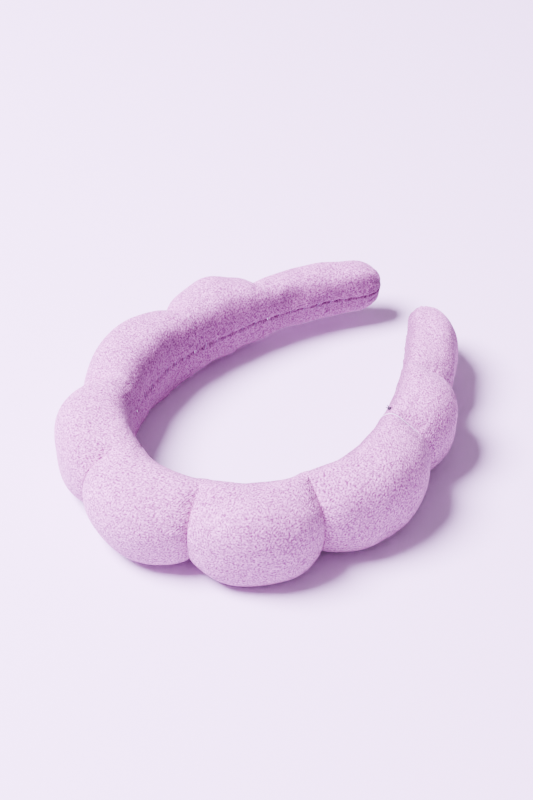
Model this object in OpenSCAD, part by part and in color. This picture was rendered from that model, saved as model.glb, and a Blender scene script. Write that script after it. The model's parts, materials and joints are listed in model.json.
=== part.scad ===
// Padded spa headband: a sprung hoop carries nine sponge pads inside one gathered terry sleeve.
// It lies on its side: +Z up, the crown of the hoop at -Y, the two tips at +Y, the right arm at +X.
// Distances "along the wall" are measured on the inner wall, from the crown's middle to a tip.

/* [Inner wall] */
// Radius of the wall round the crown, as far as each side's second gather
crown_r = 50; // [48:0.5:56]
// Radius of the wall along the widest lobe of either side
side_r = 70; // [65:1:85]
// Radius of the nearly straight wall from the third gather to a tip
arm_r = 200; // [170:5:260]
// Length along the wall from the crown's middle to a tip
half_length = 198; // [192:1:204]
// Rounding of the wall's top and bottom edges
wall_round = 9; // [6:0.5:10]

/* [Lobes] */
// Distance along the wall to the right side's first gather
right_first = 17; // [15:0.5:21]
// Distance along the wall to the left side's first gather
left_first = 18.5; // [15:0.5:21]
// Distance along the wall to the second gather of either side, where the crown arc ends
second_gather = 55; // [52:0.5:58]
// Distance along the wall to the third gather of either side, where the nearly straight wall begins
third_gather = 104; // [100:0.5:108]
// Distance along the wall to the right side's last gather
right_last = 142; // [138:0.5:148]
// Distance along the wall to the left side's last gather
left_last = 145; // [138:0.5:148]
// Thickness of the crown lobe, measured outward from the wall
crown_thick = 37; // [34:0.5:40]
// Thickness of the right lobes, from the crown to the tip
right_thick = [34.5, 33, 29.5, 23]; // [20:0.5:38]
// Thickness of the left lobes, from the crown to the tip
left_thick = [34.5, 30.5, 30.5, 22.5]; // [20:0.5:38]
// Half height of the crown lobe
crown_half_h = 20; // [18:0.5:22]
// Half height of the lobes of either arm, from the crown to the tip
arm_half_h = [20, 20, 17.5, 13]; // [12:0.5:20]
// Thickness left at a gather, as a share of its two lobes' mean
gather_share = 0.8; // [0.7:0.01:0.86]
// Plan radius of a tip's round end
tip_r = 9.5; // [8:0.25:10]

/* [Sleeve] */
// Thickness of the terry sleeve
sleeve_t = 1.4; // [1:0.1:1.8]
// Diameter of a gather: several turns of nylon thread
gather_d = 0.8; // [0.5:0.1:1]
// Depth of the channel in which the closing seam is sewn
seam_depth = 0.9; // [0.7:0.1:1]
// Height of the closing seam's channel
seam_h = 4; // [3:0.5:6]
// Diameter of the closing seam's thread
seam_d = 0.6; // [0.4:0.1:0.7]
// Distance between the closing seam's stitches
seam_pitch = 6; // [4:0.5:10]
// Number of stitches that close a tip
tip_stitches = 5; // [3:2:7]

/* [Hoop] */
// Thickness of the plastic hoop
hoop_t = 1.6; // [1.2:0.1:2]
// Depth of the hoop's middle behind the wall
hoop_depth = 4; // [3.6:0.1:5]
// Height of the hoop at the crown
hoop_h = 24; // [18:1:26]
// Height of the hoop at its tips
hoop_tip_h = 11; // [8:1:12]
// Length of hoop missing at each tip, which the pad covers
hoop_short = 9; // [7:1:14]

/* [Flex] */
// Turn at the gathers next to the crown when the arms are spread fully, degrees
spread_turn = 5; // [2:0.5:6]
// Turn at each gather as a share of that at the crown's, from the crown to the tip
flex_share = [1, 0.85, 0.6, 0.35]; // [0.1:0.05:1]

/* [Hidden] */
$fn = 64;
function lobe_names() =
    concat(["crown"], [for (side = ["left", "right"]) for (i = [1:4]) str(side, "_", i)]);

terry = [0.79, 0.67, 0.81];
sponge = [0.95, 0.93, 0.88];
plastic = [0.93, 0.92, 0.93];
nylon = [0.88, 0.86, 0.92];
dark_thread = [0.12, 0.10, 0.13];

// Clearances: sleeve to pad, hoop to its slot, gather to the pad behind it, and the hinge side of a gather
pad_gap = 0.1;
slot_gap = 0.4;
slot_end_gap = 1;
gather_gap = 0.1;
hinge_gap = 0.35;
gather_sink = 0.3;
gather_slot = gather_d + 2 * gather_gap;
// Length that reaches past every solid
far = 80;
// The hoop lies level, at the height of the largest lobes' middle
mid_z = crown_half_h;
// The inner cut of the sleeve runs this far past its ends, so that the sleeve is open there
overrun = 12;
// The wall's rounding reaches this far above a lobe's flat top, which cuts it off
wall_rise = 0.6;
// The round end of a tip is this much smaller than the lobe that it closes
tip_step = 0.3;
// An edge is rounded by this much less than half its lobe's plan radius
edge_spare = 1.5;
// The cut between two lobes reaches this far inside the wall
cut_reach = 20;
// Space between a stitch and the cloth under it
stitch_gap = 0.02;
// The closing seam's stitches keep this far from a gather, and from a tip's round end
seam_margin = 2;
seam_tip_margin = 4;
// Turn between the stitches round a tip, degrees
tip_stitch_turn = 22;
// The gather's knot and its cut end; the knot lies this high on the wall's rounding, degrees
knot_d = 1.1;
knot_rise = 35;
knot_gap = 0.05;
knot_end_d = 0.5;
knot_end_l = 2.6;

// The wall is three tangent arcs: crown, side and arm; an arc is [centre, radius]
function degrees(length, r) = length / r * 180 / PI;
function outward(a) = [sin(a), -cos(a)];
function along(a) = [cos(a), sin(a)];
side_turn = degrees(second_gather, crown_r);
arm_turn = side_turn + degrees(third_gather - second_gather, side_r);
crown_arc = [[0, 0], crown_r];
side_arc = [(crown_r - side_r) * outward(side_turn), side_r];
arm_arc = [side_arc[0] + (side_r - arm_r) * outward(arm_turn), arm_r];
function arc_at(s) = s < second_gather ? crown_arc : s < third_gather ? side_arc : arm_arc;
function turn_at(s) =
    s < second_gather ? degrees(s, crown_r)
    : s < third_gather ? side_turn + degrees(s - second_gather, side_r)
    : arm_turn + degrees(s - third_gather, arm_r);
function wall_point(s, out = 0) = arc_at(s)[0] + (arc_at(s)[1] + out) * outward(turn_at(s));
function on_plane(s, out, shift) = wall_point(s, out) + shift * along(turn_at(s));

// Lobe 0 is the crown, lobes 1 to 4 run to the tip; a side is [gathers, thicknesses]
right_side = [[right_first, second_gather, third_gather, right_last], right_thick];
left_side = [[left_first, second_gather, third_gather, left_last], left_thick];
lobe_arcs = [crown_arc, crown_arc, side_arc, arm_arc, arm_arc];
function gather_s(side, i) = side[0][i - 1];
function thick(side, i) = i == 0 ? crown_thick : side[1][i - 1];
function half_h(i) = i == 0 ? crown_half_h : arm_half_h[i - 1];
function neck(side, i) = gather_share * (thick(side, i) + thick(side, i - 1)) / 2;
function neck_point(side, i) = wall_point(gather_s(side, i), neck(side, i));
tip_s = half_length - tip_r;
tip_c = wall_point(tip_s, tip_r);
// A lobe's edge is rounded by less than half its plan radius
function edge_of(disc, i) = min(i == 4 ? wall_round : half_h(i), disc[1] / 2 - edge_spare);

// Circle through three points of a lobe's outer edge: [centre, radius]
function circle_centre(a, b, c) =
    let(d = 2 * (a.x * (b.y - c.y) + b.x * (c.y - a.y) + c.x * (a.y - b.y)))
    [
        (a * a * (b.y - c.y) + b * b * (c.y - a.y) + c * c * (a.y - b.y)) / d,
        (a * a * (c.x - b.x) + b * b * (a.x - c.x) + c * c * (b.x - a.x)) / d
    ];
function circle_of(a, b, c) = let(m = circle_centre(a, b, c)) [m, norm(a - m)];
crown_disc = circle_of(
    neck_point(right_side, 1),
    [0, -crown_r - crown_thick],
    [-neck_point(left_side, 1).x, neck_point(left_side, 1).y]
);
function lobe_middle(side, i) = (gather_s(side, i) + (i == 4 ? tip_s : gather_s(side, i + 1))) / 2;
function arm_disc(side, i) = circle_of(
    neck_point(side, i),
    wall_point(lobe_middle(side, i), thick(side, i)),
    i == 4 ? wall_point(tip_s, 2 * tip_r) : neck_point(side, i + 1)
);

// The object's box is centred on the origin: it runs from the left to the right second lobe,
// and from the crown lobe to the tips
function outer_x(side) = arm_disc(side, 2)[0].x + arm_disc(side, 2)[1];
front_y = crown_disc[0].y - crown_disc[1];
back_y = tip_c.y + tip_r - tip_step;
place = [(outer_x(left_side) - outer_x(right_side)) / 2, -(front_y + back_y) / 2, 0];

// Round disc about a vertical axis, with its edge rounded by edge_r.
// A turned shape starts and ends on its side that faces away from the lobe, at turn + 90.
module rounded_disc(centre, r, half, edge_r, turn) {
    translate([centre.x, centre.y, mid_z])
        rotate(turn + 90)
            rotate_extrude()
                intersection() {
                    union() {
                        translate([0, -half])
                            square([r - edge_r, 2 * half]);
                        translate([r - edge_r, edge_r - half])
                            circle(edge_r);
                        translate([r - edge_r, half - edge_r])
                            circle(edge_r);
                        if (half > edge_r)
                            translate([0, edge_r - half])
                                square([r, 2 * (half - edge_r)]);
                    }
                    translate([0, -half])
                        square([r, 2 * half]);
                }
}

// Ring of everything outside an arc of the wall, with the wall's two edges rounded
module wall_ring(arc, full_half, full_round, inset, turn) {
    r = arc[1] + inset;
    half = full_half + wall_rise - inset;
    round_r = full_round - inset;
    translate([arc[0].x, arc[0].y, mid_z])
        rotate(turn + 90)
            rotate_extrude()
                union() {
                    translate([r + round_r, -half])
                        square([far, 2 * half]);
                    translate([r + round_r, round_r - half])
                        circle(round_r);
                    translate([r + round_r, half - round_r])
                        circle(round_r);
                    translate([r, round_r - half])
                        square([round_r, 2 * (half - round_r)]);
                }
}

// Upright prism of a plan outline
module prism(points) {
    translate([0, 0, -far / 2])
        linear_extrude(2 * far)
            polygon(points);
}

// Plan outline between two cuts; a cut is [place, shift along the wall, tilt of its outer half]
function cut_line(cut) =
    let(
        pivot = on_plane(cut[0], hoop_depth, cut[1]),
        a = turn_at(cut[0])
    )
    [
        pivot - (hoop_depth + cut_reach) * outward(a),
        pivot,
        pivot + far * outward(a + cut[2])
    ];
function zone(start, end) = concat(cut_line(start), [for (i = [2, 1, 0]) cut_line(end)[i]]);

// One arm's lobe i, drawn on the right, inset all round and cut to a zone
module arm_lobe(side, i, inset, start, end) {
    disc = arm_disc(side, i);
    turn = turn_at(lobe_middle(side, i));
    intersection() {
        rounded_disc(disc[0], disc[1] - inset, half_h(i) - inset, edge_of(disc, i) - inset, turn);
        wall_ring(lobe_arcs[i], half_h(i), wall_round, inset, turn);
        prism(zone(start, end));
    }
    if (i == 4)
        tip_end(tip_r - tip_step - inset, half_h(4) - tip_step - inset);
}

// Upright pill that rounds off a tip
module tip_end(r, half) {
    translate([tip_c.x, tip_c.y, mid_z])
        rotate_extrude()
            intersection() {
                union() {
                    translate([0, r - half])
                        circle(r);
                    translate([0, half - r])
                        circle(r);
                    translate([0, r - half])
                        square([r, 2 * (half - r)]);
                }
                translate([0, -half])
                    square([r, 2 * half]);
            }
}

// The crown lobe, inset all round
module crown_lobe(inset, right_end, left_end) {
    right_line = cut_line(right_end);
    left_line = [for (p = cut_line(left_end)) [-p.x, p.y]];
    intersection() {
        rounded_disc(
            crown_disc[0],
            crown_disc[1] - inset,
            half_h(0) - inset,
            edge_of(crown_disc, 0) - inset,
            0
        );
        wall_ring(crown_arc, half_h(0), wall_round, inset, 0);
        prism(concat(left_line, [for (i = [2, 1, 0]) right_line[i]]));
    }
}

// Where lobe i starts and ends: behind a gather the face is tilted, so that the arm can turn
function lobe_start(side, i, gap) = [gather_s(side, i), hinge_gap + gap, spread_turn * flex_share[i - 1]];
function lobe_end(side, i, gap) = i == 4 ? [tip_s, 0, 0] : [gather_s(side, i + 1), -gather_slot - gap, 0];
function pad_end(side, i) = i == 4 ? [tip_s - tip_step, -pad_gap, 0] : lobe_end(side, i, pad_gap);
function open_start(side, i) = [gather_s(side, i) - overrun, 0, 0];
function open_end(side, i) = i == 4 ? [tip_s - tip_step, 0, 0] : [gather_s(side, i + 1) + overrun, 0, 0];

// The hoop: a band of even thickness, lower towards its tips; grow makes its slot
module hoop_arm(grow, end_grow) {
    end_s = half_length - hoop_short + end_grow;
    intersection() {
        union() {
            hoop_part(crown_arc, [0, 0, 0], [second_gather, 0, 0], grow);
            hoop_part(side_arc, [second_gather, 0, 0], [third_gather, 0, 0], grow);
            hoop_part(arm_arc, [third_gather, 0, 0], [end_s, 0, 0], grow);
        }
        hoop_taper(grow);
    }
}

module hoop_part(arc, start, end, grow) {
    half_t = hoop_t / 2 + grow;
    intersection() {
        translate([arc[0].x, arc[0].y, mid_z - hoop_h])
            difference() {
                cylinder(r = arc[1] + hoop_depth + half_t, h = 2 * hoop_h);
                translate([0, 0, -1])
                    cylinder(r = arc[1] + hoop_depth - half_t, h = 2 * hoop_h + 2);
            }
        prism(zone(start, end));
    }
}

// Side view of the hoop: full height round the crown, falling evenly to the tips
module hoop_taper(grow) {
    crown_h = hoop_h / 2 + grow;
    tip_h = hoop_tip_h / 2 + grow;
    translate([far, 0, mid_z])
        rotate([90, 0, -90])
            linear_extrude(2 * far)
                polygon([
                    [far, -crown_h],
                    [0, -crown_h],
                    [-back_y, -tip_h],
                    [-back_y, tip_h],
                    [0, crown_h],
                    [far, crown_h]
                ]);
}

module hoop_solid(grow, end_grow) {
    hoop_arm(grow, end_grow);
    mirror([1, 0, 0])
        hoop_arm(grow, end_grow);
}

// Channel in which the closing seam lies, along the middle of the wall
module seam_channel(arc) {
    translate([arc[0].x, arc[0].y, mid_z - seam_h / 2])
        cylinder(r = arc[1] + seam_depth, h = seam_h);
}

module arm_cover(side, i) {
    difference() {
        arm_lobe(side, i, 0, lobe_start(side, i, 0), lobe_end(side, i, 0));
        arm_lobe(side, i, sleeve_t, open_start(side, i), open_end(side, i));
        seam_channel(lobe_arcs[i]);
    }
}

module arm_pad(side, i) {
    inset = sleeve_t + pad_gap;
    difference() {
        arm_lobe(side, i, inset, lobe_start(side, i, pad_gap), pad_end(side, i));
        hoop_arm(slot_gap, slot_end_gap);
    }
}

// Ring of thread in the slot of gather i, sunk a little below the sleeve's face
module gather_ring(side, i) {
    s = gather_s(side, i);
    start = [s, -gather_slot + gather_gap, 0];
    end = [s, -gather_gap, 0];
    difference() {
        gather_core(side, i, gather_sink, start, end);
        gather_core(side, i, gather_sink + gather_d, [s, -gather_slot, 0], [s, 0, 0]);
    }
}

// The lobe on the crown's side of gather i, in the gather's slice
module gather_core(side, i, inset, start, end) {
    disc = i == 1 ? side_crown_disc(side) : arm_disc(side, i - 1);
    half = half_h(i - 1);
    turn = turn_at(gather_s(side, i));
    intersection() {
        rounded_disc(disc[0], disc[1] - inset, half - inset, edge_of(disc, i - 1) - inset, turn);
        wall_ring(lobe_arcs[i - 1], half, wall_round, inset, turn);
        prism(zone(start, end));
    }
}
function side_crown_disc(side) =
    side == right_side ? crown_disc : [[-crown_disc[0].x, crown_disc[0].y], crown_disc[1]];

// Upright stitches in the seam channel, evenly spread between two places
module stitches(s0, s1) {
    count = floor((s1 - s0) / seam_pitch);
    pitch = (s1 - s0) / count;
    for (j = [0:count - 1]) {
        p = wall_point(s0 + (j + 0.5) * pitch, seam_depth - seam_d / 2 - stitch_gap);
        translate([p.x, p.y, mid_z - seam_h / 2])
            cylinder(d = seam_d, h = seam_h);
    }
}

module arm_stitches(side, i) {
    stitches(
        gather_s(side, i) + seam_margin,
        i == 4 ? tip_s - seam_tip_margin : gather_s(side, i + 1) - seam_margin
    );
}

// Stitches that draw a tip's end together
module tip_row() {
    a = turn_at(tip_s);
    for (j = [0:tip_stitches - 1]) {
        b = a + 90 + (j - (tip_stitches - 1) / 2) * tip_stitch_turn;
        p = tip_c + (tip_r + seam_d / 2 + stitch_gap) * outward(b);
        translate([p.x, p.y, mid_z - seam_h / 2])
            cylinder(d = seam_d, h = seam_h);
    }
}

// Places a piece of an arm: everything is drawn on the right
module on_arm(is_left) {
    translate(place)
        mirror([is_left ? 1 : 0, 0, 0])
            children();
}
function side_of(is_left) = is_left ? left_side : right_side;

module hoop() {
    color(plastic)
        translate(place)
            hoop_solid(0, 0);
}

module pad(is_left, i) {
    color(sponge)
        on_arm(is_left)
            arm_pad(side_of(is_left), i);
}

module pad_crown() {
    inset = sleeve_t + pad_gap;
    color(sponge)
        translate(place)
            difference() {
                crown_lobe(inset, pad_end(right_side, 0), pad_end(left_side, 0));
                hoop_solid(slot_gap, slot_end_gap);
            }
}

module cover(is_left, i) {
    color(terry)
        on_arm(is_left)
            arm_cover(side_of(is_left), i);
}

module cover_crown() {
    color(terry)
        translate(place)
            difference() {
                crown_lobe(0, lobe_end(right_side, 0, 0), lobe_end(left_side, 0, 0));
                crown_lobe(sleeve_t, open_end(right_side, 0), open_end(left_side, 0));
                seam_channel(crown_arc);
            }
}

module closing_seam(is_left, i) {
    color(nylon)
        on_arm(is_left)
            arm_stitches(side_of(is_left), i);
}

module closing_seam_crown() {
    reach = min(gather_s(right_side, 1), gather_s(left_side, 1)) - gather_slot - seam_margin;
    color(nylon)
        translate(place) {
            stitches(0, reach);
            mirror([1, 0, 0])
                stitches(0, reach);
        }
}

module gather(is_left, i) {
    color(nylon)
        on_arm(is_left)
            gather_ring(side_of(is_left), i);
}

module tip_stitches(is_left) {
    color(nylon)
        on_arm(is_left)
            tip_row();
}

// Knot and cut end of the third right gather, on the rounding at the top of the inner wall
module gather_knot() {
    reach = wall_round - gather_sink + knot_d / 2 + knot_gap;
    p = on_plane(gather_s(right_side, 3), wall_round - reach * cos(knot_rise), -gather_slot / 2);
    centre_z = mid_z + half_h(2) + wall_rise - wall_round;
    color(dark_thread)
        on_arm(false)
            translate([p.x, p.y, centre_z + reach * sin(knot_rise)]) {
                sphere(d = knot_d);
                cylinder(d = knot_end_d, h = knot_end_l);
            }
}

hoop();
pad_crown();
cover_crown();
closing_seam_crown();
for (is_left = [true, false]) {
    name = is_left ? "left" : "right";
    for (i = [1:4]) {
        pad(is_left, i);
        cover(is_left, i);
        closing_seam(is_left, i);
        gather(is_left, i);
    }
    tip_stitches(is_left);
}
gather_knot();
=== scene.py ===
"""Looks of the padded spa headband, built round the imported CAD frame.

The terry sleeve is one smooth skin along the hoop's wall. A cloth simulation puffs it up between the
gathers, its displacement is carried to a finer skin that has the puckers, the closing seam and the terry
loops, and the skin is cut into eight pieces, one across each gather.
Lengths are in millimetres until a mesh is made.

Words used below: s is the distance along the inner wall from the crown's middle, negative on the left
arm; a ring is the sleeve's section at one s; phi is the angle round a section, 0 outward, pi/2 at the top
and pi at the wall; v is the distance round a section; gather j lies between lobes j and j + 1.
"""
import json
import math

import bpy
import numpy as np
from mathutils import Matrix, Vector


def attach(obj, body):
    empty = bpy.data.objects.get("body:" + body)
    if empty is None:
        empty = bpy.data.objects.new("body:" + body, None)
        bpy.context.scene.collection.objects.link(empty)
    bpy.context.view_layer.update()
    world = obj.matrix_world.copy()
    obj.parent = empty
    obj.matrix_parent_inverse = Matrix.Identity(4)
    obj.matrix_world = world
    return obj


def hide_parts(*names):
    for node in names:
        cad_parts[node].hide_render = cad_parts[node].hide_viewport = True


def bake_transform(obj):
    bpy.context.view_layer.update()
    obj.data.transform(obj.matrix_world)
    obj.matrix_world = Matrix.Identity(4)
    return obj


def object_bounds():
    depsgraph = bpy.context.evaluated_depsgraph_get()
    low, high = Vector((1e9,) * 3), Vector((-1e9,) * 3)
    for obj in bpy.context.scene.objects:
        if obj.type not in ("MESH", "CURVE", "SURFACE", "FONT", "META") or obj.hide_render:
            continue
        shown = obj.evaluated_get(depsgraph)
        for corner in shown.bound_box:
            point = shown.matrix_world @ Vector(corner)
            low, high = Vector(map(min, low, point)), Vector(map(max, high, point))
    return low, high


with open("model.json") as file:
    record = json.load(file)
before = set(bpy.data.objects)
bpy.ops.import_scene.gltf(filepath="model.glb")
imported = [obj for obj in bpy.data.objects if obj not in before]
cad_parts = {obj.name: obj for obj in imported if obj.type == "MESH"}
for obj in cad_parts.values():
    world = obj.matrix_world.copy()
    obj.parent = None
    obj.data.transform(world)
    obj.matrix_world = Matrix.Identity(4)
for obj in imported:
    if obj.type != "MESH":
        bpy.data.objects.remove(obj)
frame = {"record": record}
CAD_BOX = [list(corner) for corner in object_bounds()]
MM = 0.001

# ---------------------------------------------------------------- driving dimensions
# The wall's arcs, the gathers' places and the hoop are the CAD model's. To follow the outline in the photo,
# the lobes are up to 1.8 mm off the CAD's, and the left tip reaches 4.5 mm past it and the right 2.5 mm less.
CROWN_R, SIDE_R, ARM_R = 50.0, 70.0, 200.0
SECOND, THIRD, HALF_LENGTH = 55.0, 104.0, 198.0
GATHERS = [-145.0, -104.0, -55.0, -18.5, 17.0, 55.0, 104.0, 142.0]
LOBES = ["left_4", "left_3", "left_2", "left_1", "crown", "right_1", "right_2", "right_3", "right_4"]
THICK = [22.7, 31.7, 30.0, 34.1, 36.6, 35.4, 32.6, 29.8, 23.8]
HALF_H = [12.1, 16.8, 19.7, 20.0, 18.2, 20.3, 20.1, 17.9, 12.8]
NECK_SHARE = [0.76, 0.76, 0.75, 0.81, 0.75, 0.70, 0.77, 0.77]
MID_Z = 20.0
HOOP_T, HOOP_DEPTH, HOOP_H, HOOP_TIP_H, HOOP_SHORT = 1.6, 4.0, 24.0, 11.0, 9.0
SEAM_PITCH = 6.0

# How far the soft wall stands off the CAD's arcs at the tips and the gathers
SHIFT = [0.0, 0.4, -1.3, -1.1, 0.8, 0.6, 0.6, 0.2, -0.2, -0.8]
TIP_REACH = [202.5, 195.5]
ENDS = [-TIP_REACH[0]] + GATHERS + [TIP_REACH[1]]

# How full the lobes are
PROFILE_POWER = 0.78
NECK_TOP, NECK_WALL = 0.71, 0.97
OUTER_POWER, INNER_POWER = 0.84, 0.66
SAG = 1.07
TIP_RISE, TIP_TAPER = 0.5, 0.15
TIP_CAP, TIP_POWER = [0.74, 0.58], [2.5, 2.0]

# The arc of the crown is centred on the head's axis, where the head_grip mount is
grip = next(m for m in frame["record"]["mounts"] if m["name"] == "head_grip")
ORIGIN = np.array(grip["pos_m"][:2]) * 1000.0
LEFT_TIP, RIGHT_TIP = 0, 8
GATHER_COUNT, LOBE_COUNT = len(GATHERS), len(LOBES)
MEAN_THICK, MEAN_HALF_H = 32.0, 19.0


# ---------------------------------------------------------------- shape of the skin
def wall_frame(s):
    """Arc centre, radius and outward direction of the wall at distances s, drawn on the right."""
    a = np.abs(s)
    turn_1 = SECOND / CROWN_R
    turn_2 = turn_1 + (THIRD - SECOND) / SIDE_R
    out_1 = np.array([np.sin(turn_1), -np.cos(turn_1)])
    out_2 = np.array([np.sin(turn_2), -np.cos(turn_2)])
    c_1 = (CROWN_R - SIDE_R) * out_1
    c_2 = c_1 + (SIDE_R - ARM_R) * out_2
    crown = a < SECOND
    side = ~crown & (a < THIRD)
    side_turn = turn_1 + (a - SECOND) / SIDE_R
    arm_turn = turn_2 + (a - THIRD) / ARM_R
    turn = np.where(crown, a / CROWN_R, np.where(side, side_turn, arm_turn))
    r = np.where(crown, CROWN_R, np.where(side, SIDE_R, ARM_R))
    cx = np.where(crown, 0.0, np.where(side, c_1[0], c_2[0]))
    cy = np.where(crown, 0.0, np.where(side, c_1[1], c_2[1]))
    return cx, cy, r, np.sin(turn), -np.cos(turn)


def wall_place(s, out):
    """Plan position, in the frame, of points that stand out from the wall at distances s."""
    cx, cy, r, ox, oy = wall_frame(s)
    x = np.where(s < 0, -1.0, 1.0) * (cx + (r + out) * ox)
    return ORIGIN[0] + x, ORIGIN[1] + cy + (r + out) * oy


def wall_along(s):
    """Direction of growing s at one distance."""
    _, _, _, ox, oy = wall_frame(np.array([s]))
    side = -1.0 if s < 0 else 1.0
    return np.array([-oy[0], side * ox[0], 0.0])


def smooth(x):
    """Rises smoothly from 0 to 1 as x does."""
    x = np.clip(x, 0, 1)
    return x * x * (3 - 2 * x)


def spline(x, y, at):
    """Natural cubic through the points (x, y)."""
    x, y = np.array(x), np.array(y)
    h = np.diff(x)
    n = len(x)
    system = np.eye(n)
    slope_steps = np.zeros(n)
    for i in range(1, n - 1):
        system[i, i - 1 : i + 2] = h[i - 1], 2 * (h[i - 1] + h[i]), h[i]
        slope_steps[i] = 6 * ((y[i + 1] - y[i]) / h[i] - (y[i] - y[i - 1]) / h[i - 1])
    c = np.linalg.solve(system, slope_steps)
    i = np.clip(np.searchsorted(x, at) - 1, 0, n - 2)
    a, b = (x[i + 1] - at) / h[i], (at - x[i]) / h[i]
    return a * y[i] + b * y[i + 1] + ((a**3 - a) * c[i] + (b**3 - b) * c[i + 1]) * h[i] ** 2 / 6


def neck(j):
    """Thickness left at gather j."""
    return NECK_SHARE[j] * (THICK[j] + THICK[j + 1]) / 2


def lobe_profile(k, s):
    """Along lobe k: thickness, half height, half height at the gather, fullness, and a tip's closing:
    1 where it is open and 0 at its end."""
    lo, hi = ENDS[k], ENDS[k + 1]
    if LEFT_TIP < k < RIGHT_TIP:
        u = (2 * s - lo - hi) / (hi - lo)
        full = np.clip(1 - u * u, 0, 1) ** PROFILE_POWER
        near_w = np.where(u < 0, neck(k - 1), neck(k))
        near_h = np.where(u < 0, HALF_H[k - 1] + HALF_H[k], HALF_H[k] + HALF_H[k + 1]) / 2
        closed = np.ones_like(s)
        body = np.full_like(s, THICK[k])
        half = np.full_like(s, HALF_H[k])
    else:
        gather, j, beside = (hi, 0, 1) if k == LEFT_TIP else (lo, 7, 7)
        x = np.abs(s - gather) / (hi - lo)
        u = np.clip(1 - x / TIP_RISE, 0, 1)
        full = np.clip(1 - u * u, 0, 1) ** PROFILE_POWER
        near_w = np.full_like(s, neck(j))
        near_h = np.full_like(s, (HALF_H[k] + HALF_H[beside]) / 2)
        taper = 1 - TIP_TAPER * smooth((x - TIP_RISE) / (1 - TIP_RISE))
        tip = 0 if k == LEFT_TIP else 1
        cap, power = TIP_CAP[tip], TIP_POWER[tip]
        c = np.clip((x - cap) / (1 - cap), 0, 1)
        closed = np.clip(1 - c**power, 0, 1) ** (1 / power)
        body = THICK[k] * taper
        half = HALF_H[k] * (1 - 0.5 * (1 - taper))
    width = near_w + (body - near_w) * full
    return width, half, near_h, full, closed


def end_gap(k, s):
    """Distance from places s on lobe k to its nearest gather. A tip's closed end doesn't count."""
    if k == LEFT_TIP:
        return ENDS[1] - s
    if k == RIGHT_TIP:
        return s - ENDS[8]
    return np.minimum(s - ENDS[k], ENDS[k + 1] - s)


def side_name(j):
    """Arm and number of gather j, as in the CAD's names."""
    return f"left_{4 - j}" if j < 4 else f"right_{j - 3}"


def section(phi):
    """Unit section: x is 1 outward and -1 at the wall, z is 1 at the top."""
    power = np.where(np.cos(phi) > 0, OUTER_POWER, INNER_POWER)
    x = np.sign(np.cos(phi)) * np.abs(np.cos(phi)) ** power
    z = np.sign(np.sin(phi)) * np.abs(np.sin(phi)) ** power
    return x, z


def section_angles(count):
    """Angles round a section, evenly spaced on the cloth; the first is the middle of the inner wall."""
    fine = np.linspace(-np.pi, np.pi, 4001)
    x, z = section(fine)
    step = np.hypot(np.diff(x) * MEAN_THICK / 2, np.diff(z) * MEAN_HALF_H)
    length = np.concatenate([[0], np.cumsum(step)])
    return np.interp(np.arange(count) / count * length[-1], length, fine), length[-1]


def lobe_surface(k, s, phi):
    """Points of lobe k on a grid of distances s and section angles phi."""
    width, half, near_h, full, closed = [v[:, None] for v in lobe_profile(k, s)]
    x, z = section(phi)
    x, z = x[None, :], z[None, :]
    wallness = smooth(0.55 - x)
    neck_h = near_h * (NECK_TOP + (NECK_WALL - NECK_TOP) * wallness)
    height = neck_h + (half - neck_h) * full
    out = width / 2 * (1 + closed * x) + spline(ENDS, SHIFT, s)[:, None]
    up = np.maximum(MID_Z + height * closed * z * np.where(z < 0, SAG, 1.0), 0)
    px, py = wall_place(np.broadcast_to(s[:, None], out.shape), out)
    return np.stack([px, py, up], -1)


RING_BLEND, END_RING = 0.35, 0.65


def lobe_stations(k, count):
    """Distances of a lobe's rings, closer together towards its gathers. A tip's last ring stays open."""
    t = np.linspace(-1, 1, count)
    u = (1 - RING_BLEND) * np.sin(t * np.pi / 2) + RING_BLEND * t
    if k == LEFT_TIP:
        u[0] = u[1] * (1 - END_RING) + u[0] * END_RING
    if k == RIGHT_TIP:
        u[-1] = u[-2] * (1 - END_RING) + u[-1] * END_RING
    return (ENDS[k] + ENDS[k + 1]) / 2 + u * (ENDS[k + 1] - ENDS[k]) / 2


def lobe_length(k):
    """Length of lobe k at the middle of its thickness."""
    middle = (ENDS[k] + ENDS[k + 1]) / 2
    _, _, r, _, _ = wall_frame(np.array([middle]))
    return (ENDS[k + 1] - ENDS[k]) * (1 + THICK[k] / 2 / r[0])


# ---------------------------------------------------------------- meshes
def make_object(name, verts, faces):
    """A smooth-shaded object of points in metres and a list of faces."""
    mesh = bpy.data.meshes.new(name)
    mesh.from_pydata(np.asarray(verts).tolist(), [], faces)
    mesh.update()
    mesh.polygons.foreach_set("use_smooth", [True] * len(mesh.polygons))
    obj = bpy.data.objects.new(name, mesh)
    bpy.context.scene.collection.objects.link(obj)
    return obj


def grid_faces(rows, columns, clockwise=True):
    """Quads of a tube of closed rings, faces outward; clockwise says which way the rings turn about it."""
    i = np.arange(rows - 1)[:, None] * columns
    j = np.arange(columns)[None, :]
    a, b = i + j, i + (j + 1) % columns
    corners = [a, a + columns, b + columns, b] if clockwise else [a, b, b + columns, a + columns]
    return np.stack(corners, -1).reshape(-1, 4)


def fan_faces(ring, pole, flip):
    """Triangles from a ring of vertex numbers to one pole."""
    after = np.roll(ring, -1)
    pair = (after, ring) if flip else (ring, after)
    return [[int(a), int(b), int(pole)] for a, b in zip(*pair)]


def end_caps(count, columns):
    """Fans that close a tube of count points, whose two poles are the next two points."""
    first, last = np.arange(columns), np.arange(count - columns, count)
    return fan_faces(first, count, False) + fan_faces(last, count + 1, True)


# ---------------------------------------------------------------- cloth simulation
# The sack is run at ten times its size, which the solver's fixed thickness and damping suit better
CLOTH_SCALE = 10.0
CLOTH_COLUMNS = 56
CLOTH_SPACING = 2.3
CLOTH_FRAMES = 20
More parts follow.
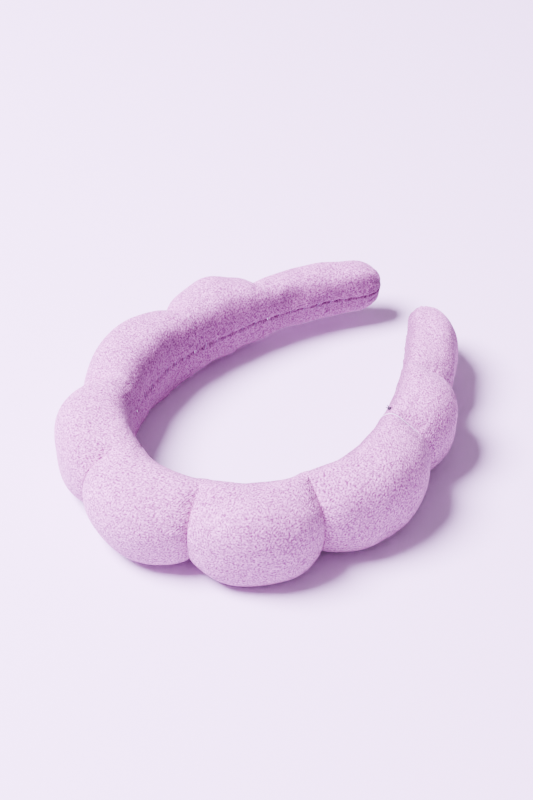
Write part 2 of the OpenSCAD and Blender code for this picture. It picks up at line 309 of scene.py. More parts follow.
# Largest move of the cloth, the share of it that is left at a gather, and how far the fade reaches
CLOTH_CAP, CLOTH_CAP_NEAR, CLOTH_FADE = 0.5, 0.15, 5.0
# How hard the wall and the tips' poles are held, where the wall begins and what counts as resting
HELD_WALL, HELD_POLE, WALL_BEGINS, RESTING = 0.7, 0.3, -0.97, 0.4


def held_weights(points, stations, phi):
    """How firmly each point of the sack is pinned: all of a gather and what rests on the floor, most of
    the wall."""
    x, _ = section(phi)
    held = np.zeros((len(points) // CLOTH_COLUMNS, CLOTH_COLUMNS))
    held[:] = np.where(x < WALL_BEGINS, HELD_WALL, 0.0)[None, :]
    row = 0
    for k in range(GATHER_COUNT):
        row += len(stations[k]) - (1 if k else 0)
        held[row - 1] = 1.0
    held[np.abs(points[:, 2].reshape(held.shape)) < RESTING] = 1.0
    return np.concatenate([held.ravel(), [HELD_POLE, HELD_POLE]])


def run_cloth(sack):
    """Positions of the sack's vertices after the cloth simulation, in millimetres."""
    cloth = sack.modifiers.new("cloth", "CLOTH")
    cloth.settings.quality = 6
    cloth.settings.mass = 0.3
    cloth.settings.tension_stiffness = 12
    cloth.settings.compression_stiffness = 12
    cloth.settings.shear_stiffness = 6
    cloth.settings.bending_stiffness = 2.0
    cloth.settings.tension_damping = 8
    cloth.settings.compression_damping = 8
    cloth.settings.shrink_min = -0.015
    cloth.settings.use_pressure = True
    cloth.settings.uniform_pressure_force = 2.0
    cloth.settings.vertex_group_mass = "held"
    cloth.settings.effector_weights.gravity = 0
    cloth.collision_settings.use_collision = False
    cloth.point_cache.frame_start = 1
    cloth.point_cache.frame_end = CLOTH_FRAMES
    scene = bpy.context.scene
    for f in range(1, CLOTH_FRAMES + 1):
        scene.frame_set(f)
    evaluated = sack.evaluated_get(bpy.context.evaluated_depsgraph_get())
    co = np.zeros(len(evaluated.data.vertices) * 3)
    evaluated.data.vertices.foreach_get("co", co)
    bpy.data.objects.remove(sack)
    scene.frame_set(1)
    return co.reshape(-1, 3) / (MM * CLOTH_SCALE)


def cloth_swell():
    """Each lobe's displacement on a coarse grid of rings and columns, from a cloth simulation."""
    phi, _ = section_angles(CLOTH_COLUMNS)
    stations = [lobe_stations(k, int(lobe_length(k) / CLOTH_SPACING)) for k in range(LOBE_COUNT)]
    flat = [lobe_surface(k, stations[k], phi) for k in range(LOBE_COUNT)]
    points = np.concatenate([flat[0]] + [r[1:] for r in flat[1:]]).reshape(-1, 3)
    total = len(points) // CLOTH_COLUMNS
    poles = [points[:CLOTH_COLUMNS].mean(0), points[-CLOTH_COLUMNS:].mean(0)]
    verts = np.concatenate([points, poles]) * MM * CLOTH_SCALE
    faces = grid_faces(total, CLOTH_COLUMNS).tolist() + end_caps(len(points), CLOTH_COLUMNS)
    sack = make_object("cloth_run", verts, faces)
    weights = held_weights(points, stations, phi)
    group = sack.vertex_groups.new(name="held")
    for value in np.unique(weights[weights > 0]):
        group.add(np.nonzero(weights == value)[0].tolist(), float(value), "REPLACE")

    moved = run_cloth(sack)[: len(points)].reshape(total, CLOTH_COLUMNS, 3)
    result = []
    row = 0
    for k in range(LOBE_COUNT):
        start = row - (1 if k else 0)
        row = start + len(stations[k])
        step = moved[start:row] - flat[k]
        outward = grid_normals(flat[k])
        step = step - (step * outward).sum(-1).mean() * outward
        size = np.linalg.norm(step, axis=-1, keepdims=True)
        near = smooth(end_gap(k, stations[k]) / CLOTH_FADE)[:, None, None]
        cap = CLOTH_CAP * (CLOTH_CAP_NEAR + (1 - CLOTH_CAP_NEAR) * near)
        result.append(step * cap * np.tanh(size / cap) / np.maximum(size, 1e-6))
    return result, stations


def cubic_weights(x, at, closed=0.0):
    """Catmull-Rom interpolation matrix from samples at x to places at; closed is the period, 0 if open."""
    n = len(x)
    matrix = np.zeros((len(at), n))
    if closed:
        xs = np.concatenate([[x[-1] - closed], x, [x[0] + closed, x[1] + closed]])
        index = np.concatenate([[n - 1], np.arange(n), [0, 1]])
    else:
        xs = np.concatenate([[2 * x[0] - x[1]], x, [2 * x[-1] - x[-2]]])
        index = np.concatenate([[0], np.arange(n), [n - 1]])
    i = np.clip(np.searchsorted(xs, at, side="right") - 1, 1, len(xs) - 3)
    t = (at - xs[i]) / (xs[i + 1] - xs[i])
    terms = [
        -0.5 * t**3 + t**2 - 0.5 * t,
        1.5 * t**3 - 2.5 * t**2 + 1,
        -1.5 * t**3 + 2 * t**2 + 0.5 * t,
        0.5 * t**3 - 0.5 * t**2,
    ]
    rows = np.arange(len(at))
    for offset, term in enumerate(terms):
        np.add.at(matrix, (rows, index[i - 1 + offset]), term)
    return matrix


# ---------------------------------------------------------------- fine skin
COLUMNS = 320
SPACING = 0.42
LOOP_PITCH, LOOP_SPREAD, LOOP_WAVES = 1.08, 0.24, 30
LOOP_HEIGHT = 0.10
# The loops' rows wander by this much, over this distance
WANDER, WANDER_PITCH = 0.5, 9.0
DENT_HEIGHT, DENT_PITCH = 0.28, 21.0
GATHER_FOLDS, TIP_FOLDS = (14, 19, 23, 29), (11, 16, 21)
# Relief fades out over these distances before a gather: the seam and the puckers, the dents, the loops
EDGE_FADE, DENT_FADE, LOOP_FADE = 0.8, 10.0, 0.5
FLOOR_GAP = 0.02


def ring_noise(u, v, pitch, waves, seed, spread=0.14):
    """Wandering rows about pitch apart: the sum of waves of nearly one length and all directions."""
    rng = np.random.default_rng(seed)
    total = np.zeros_like(u)
    for _ in range(waves):
        angle = rng.uniform(0, np.pi)
        k = 2 * np.pi / pitch * (1 + rng.uniform(-spread, spread))
        total += np.cos(k * (u * np.cos(angle) + v * np.sin(angle)) + rng.uniform(0, 2 * np.pi))
    return total / np.sqrt(waves / 2)


def grid_normals(p):
    """Outward unit normals of a grid whose rows are open and whose columns close."""
    along = np.gradient(p, axis=0)
    around = np.roll(p, -1, 1) - np.roll(p, 1, 1)
    n = np.cross(along, around)
    return n / np.maximum(np.linalg.norm(n, axis=-1, keepdims=True), 1e-9)


def folds_round(v, girth, cycles, weakest, rng):
    """Folds round a section: a sum of cosines, each with its own strength and phase."""
    folds = np.zeros(v.shape)
    for count in cycles:
        folds += rng.uniform(weakest, 1) * np.cos(2 * np.pi * count * v / girth + rng.uniform(0, 6.28))
    return folds


def pucker_height(k, s, v, girth):
    """Small folds that cross a gather and fade away from it, and the folds that draw a tip together."""
    height = np.zeros(np.broadcast(s, v).shape)
    for j in (k - 1, k):
        if 0 <= j < GATHER_COUNT:
            folds = folds_round(v, girth, GATHER_FOLDS, 0.5, np.random.default_rng(100 + j))
            distance = np.abs(s - GATHERS[j])
            height += 0.1 * folds * np.exp(-distance / 3.5) * smooth(distance / 1.2)
    if k in (LEFT_TIP, RIGHT_TIP):
        folds = folds_round(v, girth, TIP_FOLDS, 0.6, np.random.default_rng(50 + k))
        distance = np.abs(s - (ENDS[0] if k == LEFT_TIP else ENDS[9]))
        height += 0.2 * folds * np.exp(-distance / 7.0) * smooth(distance / 2.0)
    return height


def seam_height(k, s, v, girth):
    """The closing seam: a shallow furrow along the middle of the wall, with a pucker at each stitch."""
    across = np.minimum(v, girth - v)
    wave = np.cos(2 * np.pi * s / SEAM_PITCH + 0.8 * np.sin(s / 17.0))
    furrow = -0.9 * np.exp(-((across / 0.9) ** 2)) * (0.7 + 0.3 * wave)
    ridge = 0.25 * np.exp(-(((across - 2.2) / 1.3) ** 2)) * (0.6 + 0.4 * np.cos(2 * np.pi * s / 4.3 + k))
    puckers = 0.12 * np.exp(-((across / 3.0) ** 2)) * np.cos(2 * np.pi * s / 3.1 + 1.5 * np.sin(s / 7.0))
    return furrow + ridge + puckers


def painted_shade_share(phi):
    """How much painted shade darkens the terry: fully on the inner wall, partly on the underside."""
    x, z = section(phi)
    return smooth((-0.45 - x) / 0.5) + 0.45 * smooth(-z / 0.9) * smooth((x + 0.45) / 0.5)


def fine_lobe(k, displacement, coarse_s, coarse_phi):
    """Lobe k's fine grid: its points, loop pattern, ring distances and share of painted shade."""
    count = 2 * (int(lobe_length(k) / SPACING * 1.2) // 2) + 1
    s = lobe_stations(k, count)
    phi, girth = section_angles(COLUMNS)
    p = lobe_surface(k, s, phi)
    rows = cubic_weights(coarse_s, s)
    columns = cubic_weights(coarse_phi, phi, 2 * np.pi)
    p = p + np.einsum("ai,ijc,bj->abc", rows, displacement, columns, optimize=True)

    v = (np.arange(COLUMNS) / COLUMNS * girth)[None, :]
    gap = end_gap(k, s)
    along = s[:, None]
    from_middle = along - (ENDS[k] + ENDS[k + 1]) / 2
    dents = DENT_HEIGHT * ring_noise(from_middle + 0 * v, v + 0 * along, DENT_PITCH, 9, 300 + k, 0.4)
    relief = pucker_height(k, along, v, girth) + seam_height(k, along, v, girth)
    relief = relief + smooth(gap / DENT_FADE)[:, None] * dents
    p = p + (smooth(gap / EDGE_FADE)[:, None] * relief)[..., None] * grid_normals(p)

    _, _, r, _, _ = wall_frame(s)
    x, _ = section(phi)
    u = from_middle * (1 + (THICK[k] / 2 * (1 + x))[None, :] / r[:, None])
    wander = WANDER * ring_noise(u, v + 0 * u, WANDER_PITCH, 6, 500 + k)
    loops = ring_noise(u + wander, v + 0.7 * wander, LOOP_PITCH, LOOP_WAVES, 700 + k, LOOP_SPREAD)
    loops = np.tanh(1.3 * loops)
    p = p + (smooth(gap / LOOP_FADE)[:, None] * LOOP_HEIGHT * loops)[..., None] * grid_normals(p)
    p[..., 2] = np.maximum(p[..., 2], FLOOR_GAP)
    return p, loops, s, np.broadcast_to(painted_shade_share(phi)[None, :], loops.shape)


# ---------------------------------------------------------------- materials
def srgb(r, g, b):
    """Linear colour of an 8-bit sRGB one."""
    return tuple(((c / 255 + 0.055) / 1.055) ** 2.4 for c in (r, g, b))


TERRY_PALE = srgb(240, 178, 224)
TERRY_DEEP = srgb(230, 166, 214)
# Painted shade in the gaps between the loops
TERRY_GAP_SHADE = srgb(116, 56, 106)
# Painted shade of the inner wall and the underside: its loop tips and its gaps
WALL_SHADE_PALE = srgb(178, 122, 164)
WALL_SHADE_GAP = srgb(92, 46, 86)
SPONGE_GAP, SPONGE_PALE = (0.62, 0.58, 0.46), (0.88, 0.85, 0.76)
PLASTIC_DEEP, PLASTIC_PALE = (0.80, 0.79, 0.80), (0.88, 0.87, 0.88)
FLOOR_PALE = srgb(242, 238, 250)
FLOOR_DEEP = srgb(240, 236, 249)


def new_material(name):
    """A material with its node tree, its shader and the object's own coordinates."""
    material = bpy.data.materials.new(name)
    material.use_nodes = True
    tree = material.node_tree
    coords = tree.nodes.new("ShaderNodeTexCoord").outputs["Object"]
    return material, tree, tree.nodes["Principled BSDF"], coords


def texture(tree, kind, coords, **inputs):
    """A procedural texture at coords."""
    made = tree.nodes.new(kind)
    for key, value in inputs.items():
        made.inputs[key].default_value = value
    tree.links.new(coords, made.inputs["Vector"])
    return made


def noise(tree, coords, scale, detail=2.0, roughness=0.5):
    made = texture(tree, "ShaderNodeTexNoise", coords, Scale=scale, Detail=detail, Roughness=roughness)
    return made.outputs["Fac"]


def attribute_value(tree, name):
    made = tree.nodes.new("ShaderNodeAttribute")
    made.attribute_name = name
    return made.outputs["Fac"]


def mapped(tree, value, lo, hi, to_lo, to_hi):
    """Value taken from lo..hi to to_lo..to_hi."""
    made = tree.nodes.new("ShaderNodeMapRange")
    for key, limit in (("From Min", lo), ("From Max", hi), ("To Min", to_lo), ("To Max", to_hi)):
        made.inputs[key].default_value = limit
    tree.links.new(value, made.inputs["Value"])
    return made.outputs["Result"]


def math_node(tree, operation, a, b):
    """Sum or product of a link and a link or number."""
    made = tree.nodes.new("ShaderNodeMath")
    made.operation = operation
    for socket, value in zip(made.inputs, (a, b)):
        if isinstance(value, float):
            socket.default_value = value
        else:
            tree.links.new(value, socket)
    return made.outputs[0]


def colour_mix(tree, factor, low, high):
    """Mix of two colours, each a tuple or a link."""
    made = tree.nodes.new("ShaderNodeMix")
    made.data_type = "RGBA"
    tree.links.new(factor, made.inputs[0])
    for socket, value in ((made.inputs[6], low), (made.inputs[7], high)):
        if isinstance(value, tuple):
            socket.default_value = (*value, 1)
        else:
            tree.links.new(value, socket)
    return made.outputs[2]


def add_bump(tree, shader, height, distance, strength=1.0):
    bump = tree.nodes.new("ShaderNodeBump")
    bump.inputs["Strength"].default_value = strength
    bump.inputs["Distance"].default_value = distance
    tree.links.new(height, bump.inputs["Height"])
    tree.links.new(bump.outputs["Normal"], shader.inputs["Normal"])


def terry_material():
    """Terry: pale loop tips with painted shade in the gaps between them, and more painted shade on the inner
    wall and the underside.
    """
    material, tree, shader, coords = new_material("terry")
    cloudy = mapped(tree, noise(tree, coords, 45.0, 3.0), 0.3, 0.7, 0.0, 1.0)
    fuzz = mapped(tree, noise(tree, coords, 1150.0, 2.0, 0.7), 0.37, 0.63, -1.0, 1.0)
    height = math_node(tree, "ADD", math_node(tree, "MULTIPLY", attribute_value(tree, "loop"), 0.55), fuzz)
    pile = mapped(tree, height, -1.25, 1.25, 0.0, 1.0)
    # The pile's low parts take the painted shade of the gaps between loops
    pile_colour = colour_mix(tree, pile, TERRY_GAP_SHADE, colour_mix(tree, cloudy, TERRY_DEEP, TERRY_PALE))
    # Painted shade of the inner wall and the underside, mixed in by its share
    wall_shade_colour = colour_mix(tree, pile, WALL_SHADE_GAP, WALL_SHADE_PALE)
    colour = colour_mix(tree, attribute_value(tree, "pressed"), pile_colour, wall_shade_colour)
    tree.links.new(colour, shader.inputs["Base Color"])
    shader.inputs["Roughness"].default_value = 0.95
    shader.inputs["Specular IOR Level"].default_value = 0.15
    shader.inputs["Sheen Weight"].default_value = 0.25
    shader.inputs["Sheen Roughness"].default_value = 0.45
    shader.inputs["Sheen Tint"].default_value = (1.0, 0.7, 0.95, 1)
    add_bump(tree, shader, noise(tree, coords, 1500.0, 3.0, 0.7), 0.0003)
    return material


def foam_material():
    """Open-celled sponge."""
    material, tree, shader, coords = new_material("sponge")
    cells = texture(tree, "ShaderNodeTexVoronoi", coords, Scale=900.0).outputs["Distance"]
    colour = colour_mix(tree, mapped(tree, cells, 0.0, 0.7, 0.0, 1.0), SPONGE_GAP, SPONGE_PALE)
    tree.links.new(colour, shader.inputs["Base Color"])
    shader.inputs["Roughness"].default_value = 0.95
    add_bump(tree, shader, cells, 0.0003)
    return material


def plastic_material():
    """White plastic of the hoop, slightly uneven in colour and gloss."""
    material, tree, shader, coords = new_material("hoop_plastic")
    colour = colour_mix(tree, noise(tree, coords, 60.0), PLASTIC_DEEP, PLASTIC_PALE)
    tree.links.new(colour, shader.inputs["Base Color"])
    gloss = mapped(tree, noise(tree, coords, 400.0), 0.3, 0.7, 0.32, 0.48)
    tree.links.new(gloss, shader.inputs["Roughness"])
    return material


def thread_material(name, low, high, roughness):
    """Twisted thread: fine slanting bands of two tones."""
    material, tree, shader, coords = new_material(name)
    bands = texture(tree, "ShaderNodeTexWave", coords, Scale=900.0, Distortion=1.5).outputs["Fac"]
    tree.links.new(colour_mix(tree, bands, low, high), shader.inputs["Base Color"])
    shader.inputs["Roughness"].default_value = roughness
    add_bump(tree, shader, bands, 0.00005)
    return material


def floor_material():
    """Matt lilac-white paper."""
    material, tree, shader, coords = new_material("floor")
    colour = colour_mix(tree, noise(tree, coords, 6.0), FLOOR_DEEP, FLOOR_PALE)
    tree.links.new(colour, shader.inputs["Base Color"])
    shader.inputs["Roughness"].default_value = 0.7
    shader.inputs["Specular IOR Level"].default_value = 0.2
    return material


def bend_across(obj):
    """Bakes obj's transform into its mesh."""
    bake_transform(obj)


def shared_normals(lobes):
    """Normals of the lobes' grids, with one ring and one set of normals at each gather."""
    normals = [grid_normals(lobe[0]) for lobe in lobes]
    for k in range(GATHER_COUNT):
        shared = normals[k][-1] + normals[k + 1][0]
        shared /= np.linalg.norm(shared, axis=-1, keepdims=True)
        normals[k][-1] = normals[k + 1][0] = shared
        lobes[k + 1][0][0] = lobes[k][0][-1]
    return normals


POLE_RISE = 0.1


def close_tip(points, normal, loop, pressed, at_left):
    """The piece's data with a pole added at its tip, and the pole's faces."""
    count = len(points)
    ring = np.arange(COLUMNS) if at_left else np.arange(count - COLUMNS, count)
    out = -wall_along(ENDS[0]) if at_left else wall_along(ENDS[9])
    pole = points[ring].mean(0) + POLE_RISE * out
    points = np.concatenate([points, [pole]])
    normal = np.concatenate([normal, [out]])
    loop = np.concatenate([loop, [0.0]])
    pressed = np.concatenate([pressed, [pressed[-COLUMNS:].mean()]])
    return points, normal, loop, pressed, fan_faces(ring, count, not at_left)


def build_sleeve(material):
    """The sleeve in eight pieces, each from the middle of one lobe to the middle of the next."""
    displacement, coarse = cloth_swell()
    coarse_phi, _ = section_angles(CLOTH_COLUMNS)
    lobes = [fine_lobe(k, displacement[k], coarse[k], coarse_phi) for k in range(LOBE_COUNT)]
    middles = [len(lobe[2]) // 2 for lobe in lobes]
    normals = shared_normals(lobes)
    for j in range(GATHER_COUNT):
        first = 0 if j == 0 else middles[j]
        last = len(lobes[RIGHT_TIP][2]) if j == 7 else middles[j + 1] + 1
        grids = [np.concatenate([lobes[j][i][first:], lobes[j + 1][i][1:last]]) for i in (0, 1, 3)]
        points, loop, pressed = grids[0].reshape(-1, 3), grids[1].ravel(), grids[2].ravel()
        normal = np.concatenate([normals[j][first:], normals[j + 1][1:last]]).reshape(-1, 3)
        faces = grid_faces(len(points) // COLUMNS, COLUMNS).tolist()
        if j in (0, 7):
            points, normal, loop, pressed, tip_faces = close_tip(points, normal, loop, pressed, j == 0)
            faces += tip_faces
        piece = make_object("sleeve_" + side_name(j), points * MM, faces)
        # The second attribute carries the share of painted shade on the inner wall and the underside
        for label, values in (("loop", loop), ("pressed", pressed)):
            attribute = piece.data.attributes.new(label, "FLOAT", "POINT")
            attribute.data.foreach_set("value", values.astype(np.float32))
        piece.data.normals_split_custom_set_from_vertices(normal.tolist())
        piece.data.materials.append(material)
        bend_across(piece)
        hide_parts("cover_" + LOBES[j], "cover_" + LOBES[j + 1])
    return lobes


# ---------------------------------------------------------------- what is inside
PAD_INSET = 2.2
PAD_COLUMNS, PAD_RINGS = 48, 40
# A pad stops short of a gather and of a tip's end
GATHER_CLEAR, TIP_CLEAR = 1.4, 3.5


def build_pad(k, lobe, material):
    """Sponge pad of lobe k: the lobe's own form, inset all round, closed at both ends."""
    p, _, s, _ = lobe
    start = ENDS[k] + (TIP_CLEAR if k == LEFT_TIP else GATHER_CLEAR)
    stop = ENDS[k + 1] - (TIP_CLEAR if k == RIGHT_TIP else GATHER_CLEAR)
    rows = np.nonzero((s > start) & (s < stop))[0]
    rows = rows[np.unique(np.linspace(0, len(rows) - 1, PAD_RINGS).astype(int))]
    columns = np.linspace(0, COLUMNS, PAD_COLUMNS, endpoint=False).astype(int)
    q = (p - PAD_INSET * grid_normals(p))[np.ix_(rows, columns)]
    q[..., 2] = np.maximum(q[..., 2], PAD_INSET)
    points = q.reshape(-1, 3)
    poles = [q[0].mean(0), q[-1].mean(0)]
    faces = grid_faces(len(q), PAD_COLUMNS).tolist() + end_caps(len(points), PAD_COLUMNS)
    pad = make_object("foam_" + LOBES[k], np.concatenate([points, poles]) * MM, faces)
    pad.data.materials.append(material)
    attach(pad, LOBES[k])
    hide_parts("pad_" + LOBES[k])


HOOP_CORNER, HOOP_SPACING = 7, 1.5


def build_hoop(material):
    """The hoop in eight lengths, one across each gather. Its section is a band with round edges."""
    corner = np.linspace(-np.pi / 2, np.pi / 2, HOOP_CORNER)
    r = HOOP_T / 2
    across = np.concatenate([r * np.cos(corner + np.pi / 2), r * np.cos(corner - np.pi / 2)])
    rise = np.concatenate([r * np.sin(corner + np.pi / 2), r * np.sin(corner - np.pi / 2)])
    base = np.concatenate([np.ones(HOOP_CORNER), -np.ones(HOOP_CORNER)])
    for j in range(GATHER_COUNT):
        lo = (ENDS[j] + ENDS[j + 1]) / 2 if j else -HALF_LENGTH + HOOP_SHORT
        hi = (ENDS[j + 1] + ENDS[j + 2]) / 2 if j < 7 else HALF_LENGTH - HOOP_SHORT
        s = np.linspace(lo, hi, int((hi - lo) / HOOP_SPACING))
        _, py = wall_place(s, HOOP_DEPTH)
        fall = np.clip((py - ORIGIN[1]) / (CAD_BOX[1][1] / MM - ORIGIN[1]), 0, 1)
        half = (HOOP_H + (HOOP_TIP_H - HOOP_H) * fall) / 2
        out = HOOP_DEPTH + spline(ENDS, SHIFT, s)[:, None] + across[None, :]
        px, py = wall_place(np.broadcast_to(s[:, None], out.shape), out)
        up = MID_Z + base[None, :] * (half[:, None] - r) + rise[None, :]
        points = np.stack([px, py, up], -1)
        n = len(across)
        faces = grid_faces(len(s), n).tolist()
        faces.append(list(range(n)))
        faces.append(list(range((len(s) - 1) * n, len(s) * n))[::-1])
        band = make_object("hoop_" + side_name(j), points.reshape(-1, 3) * MM, faces)
        band.data.materials.append(material)
        bend_across(band)
        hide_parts("hoop")


# ---------------------------------------------------------------- threads
THREAD_END = 0.35


def tube(path, radius, normal, sides=8, closed=False):
    """A thread along a path, with narrowed ends unless it is a ring. It never runs along normal."""
    path = np.asarray(path, float)
    if closed:
        tangent = np.roll(path, -1, 0) - np.roll(path, 1, 0)
    else:
        tangent = np.gradient(path, axis=0)
    tangent /= np.linalg.norm(tangent, axis=1, keepdims=True)
    one = np.cross(tangent, normal)
    one /= np.linalg.norm(one, axis=1, keepdims=True)
    two = np.cross(tangent, one)
    angle = np.arange(sides) / sides * 2 * np.pi
    radii = np.full(len(path), radius)
    if not closed:
        radii[0] = radii[-1] = radius * THREAD_END
    circle = one[:, None] * np.cos(angle)[None, :, None] + two[:, None] * np.sin(angle)[None, :, None]
    points = path[:, None] + circle * radii[:, None, None]
    verts = points.reshape(-1, 3)
    faces = grid_faces(len(path), sides, clockwise=False).tolist()
    if closed:
        last = (len(path) - 1) * sides
        for a in range(sides):
            b = (a + 1) % sides
            faces.append([last + a, last + b, b, a])
    else:
        faces.append(list(range(sides))[::-1])
        faces.append(list(range((len(path) - 1) * sides, len(path) * sides)))
    return verts, faces


def joined(name, parts, material):
    """One object of several closed parts."""
    verts, faces, first = [], [], 0
    for v, f in parts:
        verts.append(v)
        faces += [[first + i for i in face] for face in f]
        first += len(v)
    obj = make_object(name, np.concatenate(verts) * MM, faces)
    obj.data.materials.append(material)
    return obj


GATHER_R = 0.2
GATHER_TURNS = 3
TURN_PITCH = 1.7
# The turns lie this deep in the groove, the outer ones a little deeper. One turn of the third groove on
# the right arm stands higher, where the photo shows the thread.
TURN_DEPTH, OUTER_TURN_DEPTH = 0.25, 0.06
SEEN_GATHER, SEEN_RISE = 6, 0.38


def build_gather(j, lobe, material):
    """Gather j: three turns of thread side by side in the groove at the end of lobe j."""
    ring = lobe[0][-1][::3]
    centre = ring.mean(0)
    along = wall_along(GATHERS[j])
    outward = ring - centre
    outward -= np.outer(outward @ along, along)
    outward /= np.linalg.norm(outward, axis=1, keepdims=True)
    parts = []
    for turn in range(GATHER_TURNS):
        shift = (turn - 1) * TURN_PITCH * GATHER_R
        lift = -TURN_DEPTH - OUTER_TURN_DEPTH * abs(turn - 1)
        if j == SEEN_GATHER and turn == 1:
            lift += SEEN_RISE
        parts.append(tube(ring + outward * lift + along * shift, GATHER_R, along, closed=True))
    obj = joined("thread_" + side_name(j), parts, material)
    bend_across(obj)
    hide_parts("gather_" + side_name(j))


# The seam stops short of a gather and, further, of a tip's end; its stitches cross this many columns
SEAM_CLEAR, SEAM_TIP_CLEAR = 3.0, 15.0
SEAM_R, SEAM_SINK, SEAM_HALF_COLUMNS, SEAM_SLANT_ROWS = 0.16, 0.05, 5, 3


def build_seam(k, lobe, material):
    """Closing seam of lobe k: a short slanting stitch every few millimetres along the furrow."""
    p, _, s, _ = lobe
    lo = ENDS[k] + (SEAM_TIP_CLEAR if k == LEFT_TIP else SEAM_CLEAR)
    hi = ENDS[k + 1] - (SEAM_TIP_CLEAR if k == RIGHT_TIP else SEAM_CLEAR)
    count = int((hi - lo) / SEAM_PITCH)
    parts = []
    for i in range(count):
        at = lo + (i + 0.5) * (hi - lo) / count
        row = int(np.argmin(np.abs(s - at)))
        a = p[row, -SEAM_HALF_COLUMNS]
        b = p[min(row + SEAM_SLANT_ROWS, len(s) - 1), SEAM_HALF_COLUMNS]
        middle = p[row, 0]
        inward = -grid_normals(p[max(row - 2, 0) : row + 3])[2, 0]
        t = np.linspace(0, 1, 9)[:, None]
        bow = 4 * t * (1 - t)
        path = a * (1 - t) + b * t
        path = path + (middle - (a + b) / 2) * 0.75 * bow - inward * SEAM_SINK
        parts.append(tube(path, SEAM_R, wall_along(at), sides=6))
    obj = joined("seam_" + LOBES[k], parts, material)
    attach(obj, LOBES[k])
    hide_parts("closing_seam_" + LOBES[k])


# Where the knot lies: phi on the wall's rounding, and distance past its gather
KNOT_ANGLE, KNOT_ALONG = 2.2, 5.0
KNOT_R, KNOT_END_R, KNOT_RISE = 0.32, 0.22, 0.35


def build_knot(lobe, material):
    """The knot of the thread at gather right_3, on the wall's rounding: two small rings that lean
    against each other, and the two cut ends."""
    p, _, s, _ = lobe
    phi, _ = section_angles(COLUMNS)
    at = int(np.argmin(np.abs(phi - KNOT_ANGLE)))
    row = int(np.argmin(np.abs(s - GATHERS[SEEN_GATHER] - KNOT_ALONG)))
    out = grid_normals(p[row - 4 : row + 5])[4, at]
    along = wall_along(GATHERS[SEEN_GATHER])
    centre = p[row, at] + KNOT_RISE * out
    parts = []
    turn = np.linspace(0, 2 * np.pi, 25)[:-1]
    across = np.cross(out, along)
    for lean in (-0.5, 0.5):
        loop = np.outer(np.cos(turn), along) * 0.55 + np.outer(np.sin(turn), across + lean * out) * 0.6
        parts.append(tube(centre + loop, KNOT_R, out, closed=True))
    for side in (-1, 1):
        t = np.linspace(0, 1, 9)[:, None]
        path = centre + t * (1.9 * out + side * 0.9 * along + 0.6 * across) + t * t * np.array([0, 0, -0.7])
        parts.append(tube(path, KNOT_END_R, across))
    knot = joined("knot", parts, material)
    bend_across(knot)
    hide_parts("gather_knot")


# Heights of a tip's stitches from its middle, how far from its end they begin, and their size
STITCH_RISE = (-1.6, -0.8, 0.0, 0.8, 1.6)
STITCH_REACH, STITCH_R, STITCH_LIFT = 0.6, 0.15, 0.12


def build_tip(k, lobe, material):
    """The stitches that draw a tip shut: short threads across its end, one above another."""
    p, _, s, _ = lobe
    end, side, sign = (ENDS[0], "left", -1) if k == LEFT_TIP else (ENDS[9], "right", 1)
    outward = wall_along(end) * sign
    ring = p[int(np.argmin(np.abs(np.abs(s - end) - STITCH_REACH)))]
    pole = (p[0] if k == LEFT_TIP else p[-1]).mean(0)
    wall_side = np.cos(section_angles(COLUMNS)[0]) < 0
    parts = []
    for rise in STITCH_RISE:
        miss = np.abs(ring[:, 2] - pole[2] - rise)
        a = ring[int(np.argmin(np.where(wall_side, miss, np.inf)))]
        b = ring[int(np.argmin(np.where(wall_side, np.inf, miss)))]
        t = np.linspace(0, 1, 11)[:, None]
        bow = (4 * t * (1 - t)) ** 0.6
        path = a * (1 - t) + b * t + ((pole - (a + b) / 2) @ outward + STITCH_LIFT) * bow * outward
        parts.append(tube(path, STITCH_R, np.array([0.0, 0.0, 1.0]), sides=6))
    obj = joined("tip_thread_" + side, parts, material)
    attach(obj, LOBES[k])
    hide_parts("tip_stitches_" + side)


# ---------------------------------------------------------------- scene
# The camera's azimuth and elevation in degrees, its distance and focal length, and where it looks
CAMERA_TURN = (37.59, 40.92)
CAMERA_DISTANCE = 873.8
CAMERA_FOCAL = 1939.6
CAMERA_TARGET = (-10.6, 27.4, 9.3)
IMAGE_LONG_SIDE = 800
SENSOR = 36.0


def view_axes(azimuth, elevation):
    """Right, up and back of a camera, as unit vectors."""
    a, e = math.radians(azimuth), math.radians(elevation)
    back = np.array([math.sin(a) * math.cos(e), -math.cos(a) * math.cos(e), math.sin(e)])
    right = np.array([math.cos(a), math.sin(a), 0.0])
    return right, np.cross(back, right), back


def look(obj, position, target):
    """Put obj at position, facing target."""
    direction = Vector(target) - Vector(position)
    obj.location = position
    obj.rotation_euler = direction.to_track_quat("-Z", "Y").to_euler()


def build_camera():
    _, _, back = view_axes(*CAMERA_TURN)
    target = np.array([*ORIGIN, 0.0]) + CAMERA_TARGET
    data = bpy.data.cameras.new("camera")
    data.sensor_width = SENSOR
    data.lens = CAMERA_FOCAL / IMAGE_LONG_SIDE * SENSOR
    data.clip_start = 0.01
    camera = bpy.data.objects.new("camera", data)
    bpy.context.scene.collection.objects.link(camera)
    look(camera, tuple((target + back * CAMERA_DISTANCE) * MM), tuple(target * MM))
    bpy.context.scene.camera = camera


KEY_POWER, KEY_SIZE, KEY_DISTANCE = 230.0, 0.85, 1.6
# Towards the key light: to the camera's left, a little to its side of the object, and up
KEY_LEFT, KEY_NEAR, KEY_UP = 0.54, 0.03, 0.84
KEY_COLOUR = (0.84, 0.54, 1.0)
WORLD_COLOUR = (0.95, 0.60, 1.0)
WORLD_STRENGTH = 0.45


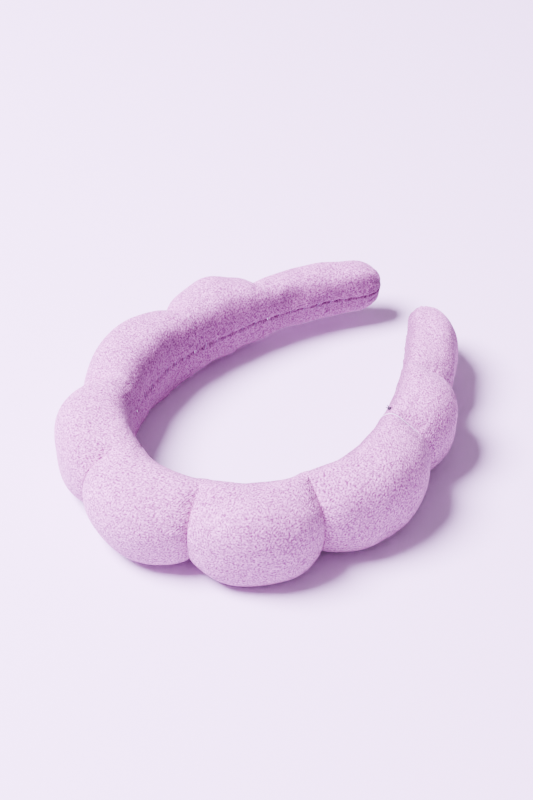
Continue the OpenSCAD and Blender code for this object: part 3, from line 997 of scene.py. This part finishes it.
def build_lights():
    """One large soft lamp from the upper left, and an even lilac surround."""
    right, _, back = view_axes(*CAMERA_TURN)
    forward = -back * np.array([1, 1, 0])
    forward /= np.linalg.norm(forward)
    key = -right * KEY_LEFT - forward * KEY_NEAR + np.array([0, 0, KEY_UP])
    key /= np.linalg.norm(key)
    data = bpy.data.lights.new("key", "AREA")
    data.shape = "DISK"
    data.size = KEY_SIZE
    data.energy = KEY_POWER
    data.color = KEY_COLOUR
    lamp = bpy.data.objects.new("key", data)
    bpy.context.scene.collection.objects.link(lamp)
    look(lamp, tuple(key * KEY_DISTANCE), (0, 0, MID_Z * MM))
    world = bpy.data.worlds.new("studio")
    bpy.context.scene.world = world
    world.use_nodes = True
    background = world.node_tree.nodes["Background"]
    background.inputs["Color"].default_value = (*WORLD_COLOUR, 1)
    background.inputs["Strength"].default_value = WORLD_STRENGTH


FLOOR_REACH = 4.0


def build_floor():
    """The sheet of paper under the object, a square of side twice FLOOR_REACH, in metres."""
    line = np.linspace(-FLOOR_REACH, FLOOR_REACH, 12)
    x, y = np.meshgrid(line, line)
    verts = np.stack([x.ravel(), y.ravel(), np.zeros(x.size)], -1)
    number = np.arange(x.size).reshape(x.shape)
    corners = [number[:-1, :-1], number[:-1, 1:], number[1:, 1:], number[1:, :-1]]
    floor = make_object("floor", verts, np.stack(corners, -1).reshape(-1, 4).tolist())
    floor.data.materials.append(floor_material())


build_camera()
build_lights()
build_floor()
sponge = foam_material()
nylon = thread_material("clear_nylon", (0.80, 0.74, 0.86), (0.95, 0.92, 0.98), 0.22)
sewing = thread_material("sewing_thread", srgb(150, 108, 156), srgb(186, 150, 192), 0.7)
dark = thread_material("dark_thread", (0.010, 0.008, 0.012), (0.030, 0.024, 0.032), 0.5)
lobes = build_sleeve(terry_material())
for k in range(LOBE_COUNT):
    build_pad(k, lobes[k], sponge)
    build_seam(k, lobes[k], sewing)
for j in range(GATHER_COUNT):
    build_gather(j, lobes[j], nylon)
build_hoop(plastic_material())
build_knot(lobes[SEEN_GATHER + 1], dark)
for k in (LEFT_TIP, RIGHT_TIP):
    build_tip(k, lobes[k], sewing)
